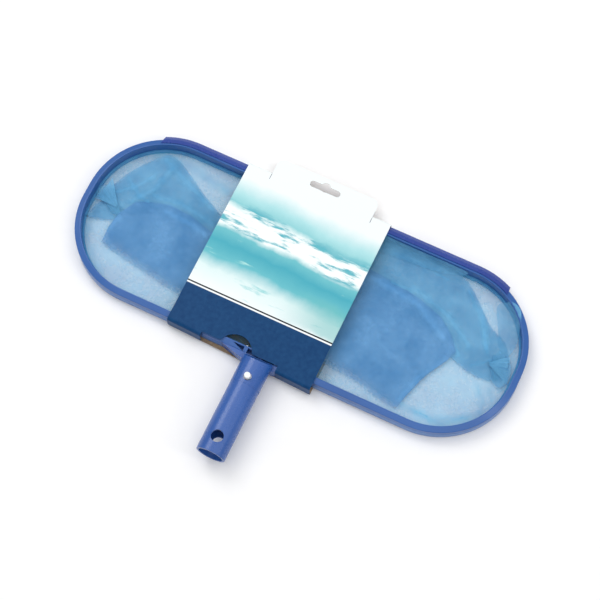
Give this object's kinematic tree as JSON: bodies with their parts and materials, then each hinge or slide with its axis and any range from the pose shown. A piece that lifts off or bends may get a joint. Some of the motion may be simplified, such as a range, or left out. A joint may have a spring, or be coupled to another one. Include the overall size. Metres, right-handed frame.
{
  "type": "leaf skimmer net",
  "caption": "Flat pool skimmer net: long rounded hoop with a shallow mesh bag, a front scooping lip, a pole socket with a snap clip, and a removable card sleeve.",
  "frame": {"origin": "centre of the pole socket's open mouth, on its axis", "axes": "+X along the hoop's length, +Y from the mouth along the socket to the scooping lip, +Z the side that the bag opens to"},
  "size_m": [0.457, 0.2975, 0.0392],
  "materials": {
    "hoop_plastic": "semi-gloss moulded",
    "hoop_plastic_light": "semi-gloss moulded",
    "lip_plastic": "semi-gloss moulded",
    "hem_cord": "braided",
    "net_hem": "woven tape",
    "net_mesh": "fine knitted mesh",
    "socket_plastic": "semi-gloss moulded",
    "screw_steel": "stainless",
    "spring_steel": "stainless strip",
    "button_white": "polished",
    "printed_card": "coated print outside, kraft inside"
  },
  "bodies": {
    "frame": {"hoop_upper_rail": "hoop_plastic", "hoop_lower_rail": "hoop_plastic_light", "scoop_lip": "lip_plastic", "hem_cord": "hem_cord", "net_hem": "net_hem", "net_bag": "net_mesh", "handle_socket": "socket_plastic", "bracket_screws": "screw_steel", "clip_bend": "spring_steel"},
    "upper_button": {"clip_leg_upper": "spring_steel", "clip_button_upper": "button_white"},
    "lower_button": {"clip_leg_lower": "spring_steel", "clip_button_lower": "button_white"},
    "sleeve": {"card_sleeve": "printed_card"}
  },
  "joints": [
    {"name": "upper_button_press", "type": "hinge", "parent": "frame", "child": "upper_button", "pos_m": [0, 0.0395, 0.013], "axis": [-1, 0, 0], "range_deg": [0, 6.5], "stiffness_Nm_per_rad": 1.2, "springref_deg": -2.86},
    {"name": "lower_button_press", "type": "hinge", "parent": "frame", "child": "lower_button", "pos_m": [0, 0.0395, -0.013], "axis": [1, 0, 0], "range_deg": [0, 6.5], "stiffness_Nm_per_rad": 1.2, "springref_deg": -2.86},
    {"name": "sleeve_slide", "type": "slide", "parent": "frame", "child": "sleeve", "axis": [1, 0, 0], "range_m": [0, 0.032]}
  ]
}
